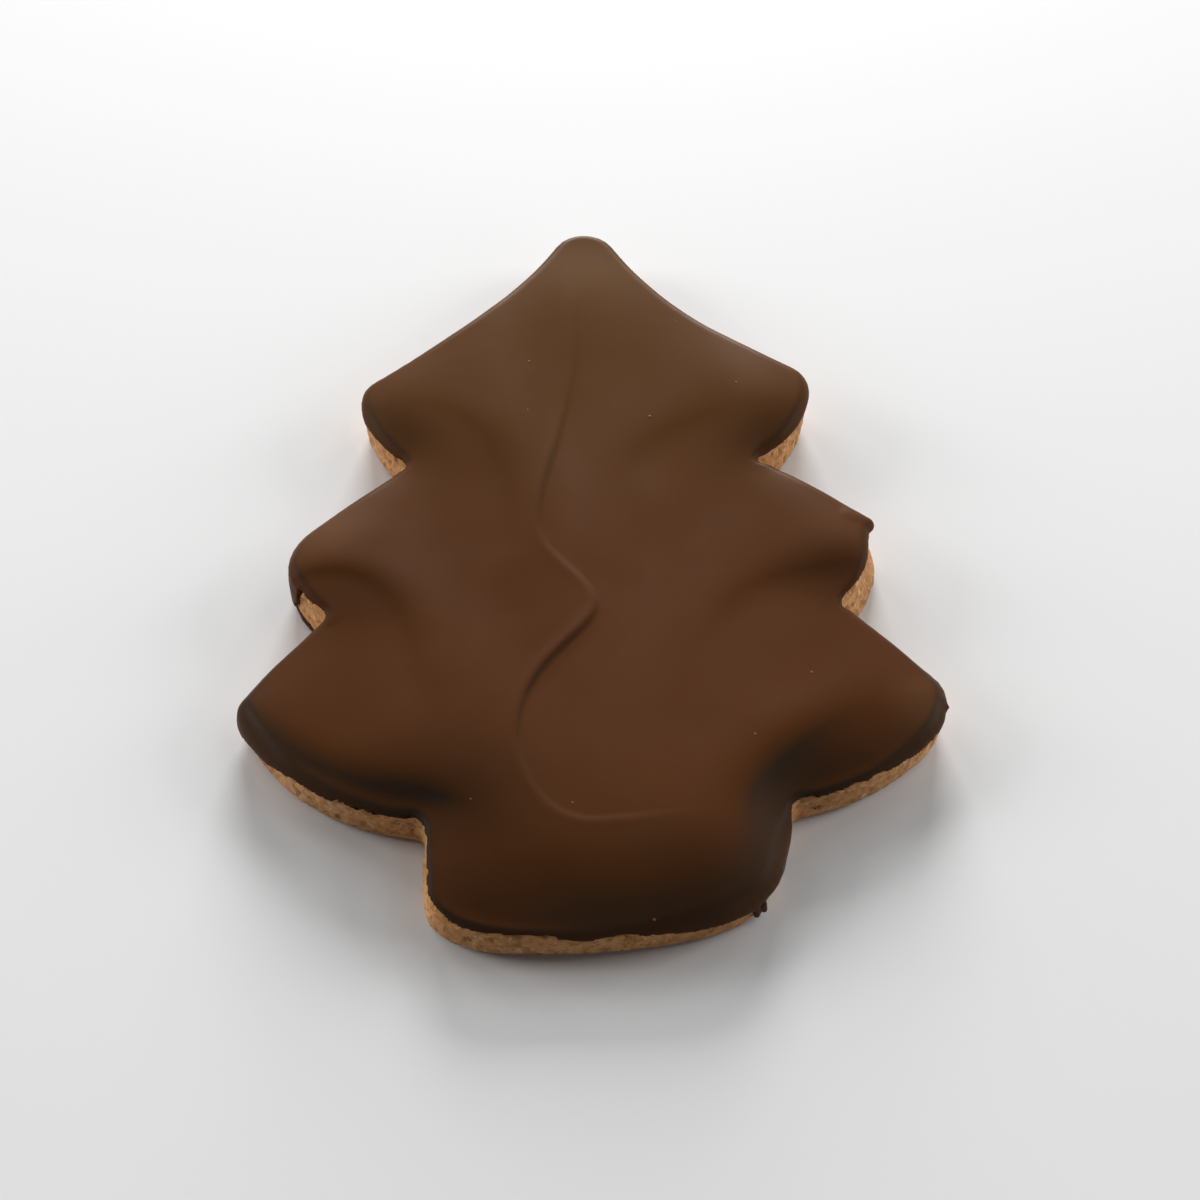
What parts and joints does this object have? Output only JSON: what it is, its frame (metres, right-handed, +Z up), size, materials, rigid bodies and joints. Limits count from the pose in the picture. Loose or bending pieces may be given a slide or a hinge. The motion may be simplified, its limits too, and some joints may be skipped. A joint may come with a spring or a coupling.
{
  "type": "chocolate-coated gingerbread tree biscuit",
  "caption": "Flat gingerbread biscuit cut as a tiered fir tree with a trunk, coated over the top and sides with thick chocolate, bare at the foot of its edge and underneath.",
  "frame": {"origin": "centre of the footprint's box, on the plane that the flat underside rests on", "axes": "+Z up through the thickness, +Y from the trunk to the tip of the tree, +X to the right-hand branches as seen from above with the tip away"},
  "size_m": [0.0875, 0.1173, 0.0088],
  "materials": {
    "gingerbread": "matte baked crumb, golden brown, slightly porous",
    "chocolate": "satin dark milk chocolate with a faint bloom"
  },
  "bodies": {
    "root": {"gingerbread_biscuit": "gingerbread", "chocolate_coating": "chocolate"}
  },
  "joints": []
}
